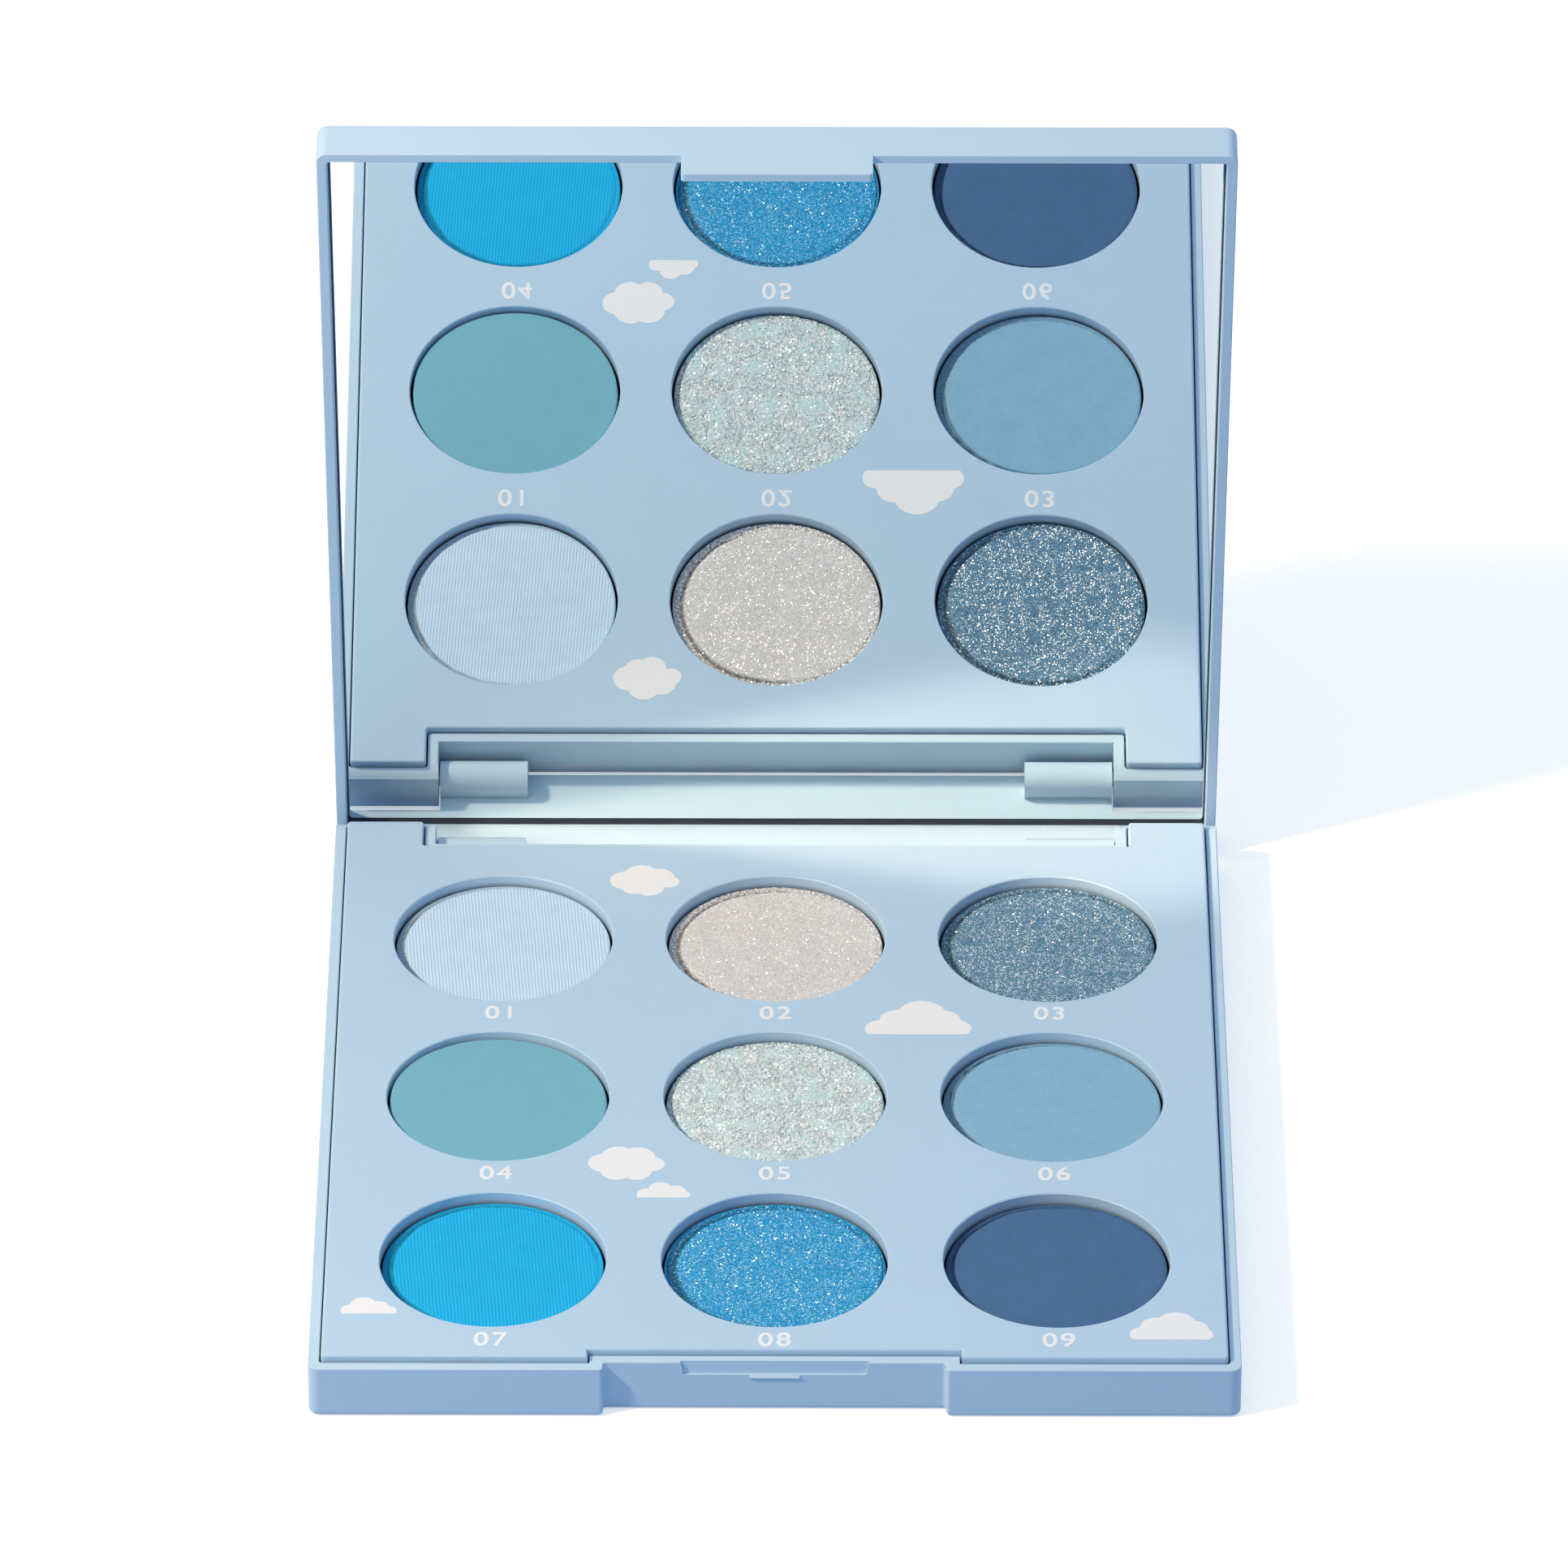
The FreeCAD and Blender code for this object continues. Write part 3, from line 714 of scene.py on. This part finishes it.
def scatterFlakes(number, grades, corners, faces, material):
    look = shades[number]
    dice = random.Random(look["seed"])
    size = cakeSize(number, look)
    centre, radius = size["centre"], size["radius"]
    points, polygons, tints = [], [], []
    for grade in grades:
        x, y = flakeSpots(grade, radius, dice, look["seed"])
        z, tone, _ = cakeRelief(x, y, radius, look, presses[look["press"]])
        kept = tone > flakeForm["leastTone"]  # none lie in grooves and cracks
        tip, roll, lean = (math.radians(grade[key]) for key in ("tip", "roll", "lean"))
        for px, py, pz in zip(x[kept], y[kept], z[kept]):
            reach = dice.uniform(*grade["size"])
            angles = (dice.gauss(tip, lean), dice.gauss(roll, lean), dice.uniform(0, math.pi))
            turn = Euler(angles, "ZYX").to_matrix()  # spun first, then tipped and rolled
            spot = Vector((centre.x + px * mm, centre.y + py * mm, size["top"] + pz * mm))
            chip = Matrix.Diagonal((reach, reach * dice.uniform(flakeForm["narrowest"], 1.0), reach))
            start = len(points)
            points += [spot + turn @ chip @ corner * mm for corner in corners]
            polygons += [tuple(start + index for index in face) for face in faces]
            tints += [(*dice.choice(grade["tints"]), 1.0)] * len(corners)
    mesh = bpy.data.meshes.new(f"flakes_{number}")
    mesh.from_pydata(points, [], polygons)
    colours = mesh.color_attributes.new("flakeTint", "FLOAT_COLOR", "POINT")
    colours.data.foreach_set("color", np.array(tints).ravel())
    piece = bpy.data.objects.new(f"flakes_{number}", mesh)
    bpy.context.scene.collection.objects.link(piece)
    dress(piece, material)
    settle(piece, "base")


flakeCorners, flakeFaces = modelFlake()
pearlFlake = flakeFinish()
for number, grades in flakeLooks.items():
    scatterFlakes(number, grades, flakeCorners, flakeFaces, pearlFlake)
print("flakes scattered")


# white print on the tray: small clouds and plain numbers
printLook = {"from": paint(0.93, 0.935, 0.94), "to": paint(0.86, 0.88, 0.90), "rough": (0.5, 0.62),
             "grain": 8000.0, "grainDepth": 0.003, "rise": 0.02, "sink": 0.01,
             "cloudCorners": 160}  # mm, grain in cells per metre
printFoot = trayTop - printLook["sink"] * mm
printThick = (printLook["rise"] + printLook["sink"]) * mm
clouds = [  # places and lobes in mm, lobes as x, y, radius round the cloud's place
    {"place": (-12.6, 33.4), "flat": None,
     "lobes": [(-1.9, 0.0, 1.5), (-0.4, 1.0, 1.6), (1.3, 0.5, 1.5), (2.3, -0.2, 1.0), (0.4, -1.2, 1.4),
               (-1.0, -1.0, 1.3)]},
    {"place": (13.5, 9.6), "flat": -1.9,
     "lobes": [(-3.6, -1.0, 1.4), (-1.9, 0.4, 1.7), (0.4, 1.3, 2.3), (2.4, 0.3, 1.7), (3.8, -0.9, 1.3),
               (-2.0, -1.2, 1.4), (0.2, -1.0, 2.0), (2.2, -1.2, 1.4)]},
    {"place": (-13.9, -13.4), "flat": None,
     "lobes": [(-2.2, 0.1, 1.4), (-0.8, 1.1, 1.6), (1.0, 0.9, 1.7), (2.5, -0.1, 1.1), (1.0, -1.2, 1.4),
               (-0.9, -1.1, 1.5)]},
    {"place": (-10.4, -17.8), "flat": -1.0,
     "lobes": [(-1.6, -0.5, 0.9), (-0.3, 0.3, 1.1), (1.1, -0.1, 1.0), (1.8, -0.6, 0.7), (0.1, -0.5, 1.2)]},
    {"place": (-37.4, -36.0), "flat": -1.1,
     "lobes": [(-1.7, -0.6, 0.85), (-0.5, 0.2, 1.2), (0.9, -0.2, 1.0), (1.9, -0.7, 0.7), (0.1, -0.5, 1.3)]},
    {"place": (36.4, -39.3), "flat": -1.6,
     "lobes": [(-2.7, -0.8, 1.1), (-1.3, 0.3, 1.5), (0.5, 0.8, 1.8), (2.1, -0.1, 1.4), (3.0, -0.9, 0.9),
               (-1.2, -0.9, 1.3), (1.0, -0.9, 1.5)]},
]


def inkFinish():
    material, tree, shader, place = newFinish("whiteInk")
    grain = speckle(tree, place, printLook["grain"])
    feed(tree, shader.inputs["Base Color"], blendColour(tree, grain, printLook["from"], printLook["to"]))
    feed(tree, shader.inputs["Roughness"], spread(tree, grain, *noiseSpan, *printLook["rough"]))
    bump(tree, shader, grain, printLook["grainDepth"] * mm)
    return material


def lobeReach(angle, lobes, flat):  # how far the cloud reaches from its place in one direction
    dx, dy = math.cos(angle), math.sin(angle)
    reach = 0.0
    for x, y, radius in lobes:
        along = x * dx + y * dy
        inside = radius ** 2 - (x * x + y * y - along ** 2)
        if inside > 0:
            reach = max(reach, along + math.sqrt(inside))
    if flat is not None and dy < 0:
        reach = min(reach, flat / dy)
    return reach


def printedCloud(index, look, ink):
    bpy.ops.object.select_all(action="DESELECT")
    x, y = look["place"]
    bpy.ops.mesh.primitive_circle_add(vertices=printLook["cloudCorners"], radius=1.0, fill_type="NGON",
                                      location=(x * mm, y * mm, printFoot))
    cloud = bpy.context.object
    cloud.name = cloud.data.name = f"printed_cloud_{index}"
    for vertex in cloud.data.vertices:
        angle = math.atan2(vertex.co.y, vertex.co.x)
        reach = lobeReach(angle, look["lobes"], look["flat"])
        vertex.co = Vector((math.cos(angle), math.sin(angle), 0)) * reach * mm
    bpy.ops.object.mode_set(mode="EDIT")
    bpy.ops.mesh.select_all(action="SELECT")
    bpy.ops.mesh.extrude_region_move(TRANSFORM_OT_translate={"value": (0, 0, printThick)})
    bpy.ops.mesh.select_all(action="SELECT")
    bpy.ops.mesh.normals_make_consistent(inside=False)
    bpy.ops.object.mode_set(mode="OBJECT")
    dress(cloud, ink)
    settle(cloud, "base")


numberLook = {"size": 2.9, "spacing": 1.15, "weight": 0.06, "below": 12.6, "weld": 0.001}  # mm and a share


def printedNumber(number, ink):
    low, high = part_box(f"pan_{number}")
    centre = (low + high) / 2
    bpy.ops.object.select_all(action="DESELECT")
    bpy.ops.object.text_add(location=(centre.x, centre.y - numberLook["below"] * mm, printFoot))
    text = bpy.context.object
    text.name = f"printed_number_{number}"
    text.data.body = f"{number:02d}"
    text.data.size = numberLook["size"] * mm
    text.data.space_character = numberLook["spacing"]
    text.data.align_x = "CENTER"
    text.data.align_y = "CENTER"
    text.data.extrude = printThick / 2
    bpy.ops.object.convert(target="MESH")
    bpy.ops.object.mode_set(mode="EDIT")
    bpy.ops.mesh.select_all(action="SELECT")
    bpy.ops.mesh.remove_doubles(threshold=numberLook["weld"] * mm)
    bpy.ops.transform.shrink_fatten(value=numberLook["weight"] * mm)  # bolder strokes
    bpy.ops.object.mode_set(mode="OBJECT")
    for vertex in text.data.vertices:  # flat again, with its foot just under the tray's face
        vertex.co.z = printThick if vertex.co.z > 0 else 0.0
    dress(text, ink)
    settle(text, "base")


whiteInk = inkFinish()
for index, look in enumerate(clouds, start=1):
    printedCloud(index, look, whiteInk)
for number in panNumbers:
    printedNumber(number, whiteInk)
print("print laid on the tray")


# floor, light and camera
stageLook = {"seen": paint(1.0, 0.82, 0.64), "fibre": paint(0.985, 0.81, 0.63), "fibres": 900.0,
             "bounce": paint(0.24, 0.43, 0.72), "lift": paint(0.48, 0.525, 0.575),
             "half": 3000.0, "drop": 0.05}  # mm, fibres per metre


def seenRay(tree):  # 1 for what the camera sees, straight or by way of mirror and glass
    path = put(tree, "LightPath").outputs
    seen = sums(tree, "MAXIMUM", path["Is Camera Ray"], path["Is Glossy Ray"])
    seen = sums(tree, "MAXIMUM", seen, path["Is Transmission Ray"])
    return sums(tree, "MULTIPLY", seen, sums(tree, "LESS_THAN", path["Diffuse Depth"], 0.5))


def layFloor():
    bpy.ops.object.select_all(action="DESELECT")
    bpy.ops.mesh.primitive_plane_add(size=2 * stageLook["half"] * mm,
                                     location=(0, 0, cadLow.z - stageLook["drop"] * mm))
    floor = bpy.context.object
    floor.name = "studio_floor"
    material = bpy.data.materials.new("studioPaper")
    material.use_nodes = True
    tree = material.node_tree
    tree.nodes.clear()
    seen = seenRay(tree)
    fibre = speckle(tree, put(tree, "TexCoord").outputs["Object"], stageLook["fibres"])
    white = blendColour(tree, fibre, stageLook["seen"], stageLook["fibre"])
    paper = put(tree, "BsdfDiffuse", {"Color": blendColour(tree, seen, stageLook["bounce"], white)})
    lift = put(tree, "Emission", {"Color": stageLook["lift"], "Strength": seen})
    both = put(tree, "AddShader")
    feed(tree, both.inputs[0], paper.outputs[0])
    feed(tree, both.inputs[1], lift.outputs[0])
    put(tree, "OutputMaterial", {"Surface": both.outputs[0]})
    floor.data.materials.append(material)
    return floor


skyLook = {"top": paint(0.57, 0.70, 0.87), "rim": paint(0.09, 0.14, 0.26)}


def hangSky():
    world = bpy.data.worlds.new("studioSky")
    bpy.context.scene.world = world
    world.use_nodes = True
    tree = world.node_tree
    tree.nodes.clear()
    height = heightOf(tree, put(tree, "TexCoord").outputs["Generated"])
    glow = blendColour(tree, spread(tree, height, 0.0, 1.0, 0.0, 1.0), skyLook["rim"], skyLook["top"])
    colour = blendColour(tree, seenRay(tree), glow, paint(1, 1, 1))
    sky = put(tree, "Background", {"Color": colour, "Strength": 1.0})
    put(tree, "OutputWorld", {"Surface": sky.outputs[0]})


keyLook = {"towards": (-0.97, -0.48, 1.0), "aim": (0.0, 0.0, 20.0), "distance": 450.0, "across": 40.0,
           "power": 1.53, "colour": (1.0, 0.79, 0.52)}  # mm
glowLook = {"from": (-34.0, 45.6), "to": (40.5, 28.2), "deep": 17.0, "distance": 30.0, "spread": 12.0,
            "power": 0.00255, "colour": (1.0, 0.735, 0.52)}  # mm and degrees, from and to on the tray


def hangLamp(name, place, turn, look):
    bpy.ops.object.light_add(type="AREA", location=place * mm, rotation=turn)
    lamp = bpy.context.object
    lamp.name = name
    lamp.data.energy = look["power"]
    lamp.data.color = look["colour"]
    lamp.visible_camera = False
    return lamp


def hangKey():
    direction = Vector(keyLook["towards"]).normalized()
    place = Vector(keyLook["aim"]) + direction * keyLook["distance"]
    lamp = hangLamp("key_lamp", place, direction.to_track_quat("Z", "Y").to_euler(), keyLook)
    lamp.data.shape = "DISK"
    lamp.data.size = keyLook["across"] * mm


def hangGlow(floor):  # light off the mirror on the tray's rear: a beam whose front edge runs along a line
    direction = Vector(keyLook["towards"]).normalized()
    start, end = (Vector((*glowLook[key], trayTop / mm)) for key in ("from", "to"))
    along = end - start
    across = along - along.dot(direction) * direction
    side = direction.cross(across.normalized())
    turn = Matrix((across.normalized(), side, direction)).transposed()
    place = (start + end) / 2 + direction * glowLook["distance"] + side * glowLook["deep"] / 2
    lamp = hangLamp("mirror_glow", place, turn.to_euler(), glowLook)
    lamp.data.shape = "RECTANGLE"
    lamp.data.size = across.length * mm
    lamp.data.size_y = glowLook["deep"] * mm
    lamp.data.spread = math.radians(glowLook["spread"])
    lamp.parent = nodes["mirror_glass"]  # turns with the lid, so the light goes when the lid shuts
    lamp.matrix_parent_inverse = nodes["mirror_glass"].matrix_world.inverted()
    spared = bpy.data.collections.new("glow_spares")  # the beam lights the palette and not the floor
    spared.objects.link(floor)
    spared.collection_objects[0].light_linking.link_state = "EXCLUDE"
    lamp.light_linking.receiver_collection = spared


cameraLook = {"target": (0.771, 50.1, 6.0), "distance": 1264.7, "azimuth": -0.012, "elevation": 34.03,
              "roll": 0.116, "lens": 297.54, "sensor": 36.0}  # mm and degrees


def setCamera():
    look = cameraLook
    azimuth, elevation, roll = (math.radians(look[key]) for key in ("azimuth", "elevation", "roll"))
    level = math.cos(elevation)
    back = Vector((math.sin(azimuth) * level, -math.cos(azimuth) * level, math.sin(elevation)))
    right = Vector((0, 0, 1)).cross(back).normalized()
    up = back.cross(right)
    rolledRight = math.cos(roll) * right + math.sin(roll) * up
    rolledUp = math.cos(roll) * up - math.sin(roll) * right
    turn = Matrix((rolledRight, rolledUp, back)).transposed()
    place = (Vector(look["target"]) + back * look["distance"]) * mm
    bpy.ops.object.camera_add(location=place, rotation=turn.to_euler())
    camera = bpy.context.object
    camera.data.lens = look["lens"]
    camera.data.sensor_width = look["sensor"]
    bpy.context.scene.camera = camera


floor = layFloor()
hangSky()
hangKey()
hangGlow(floor)
setCamera()
bpy.context.scene.view_settings.view_transform = "Standard"
print("floor, light and camera set")
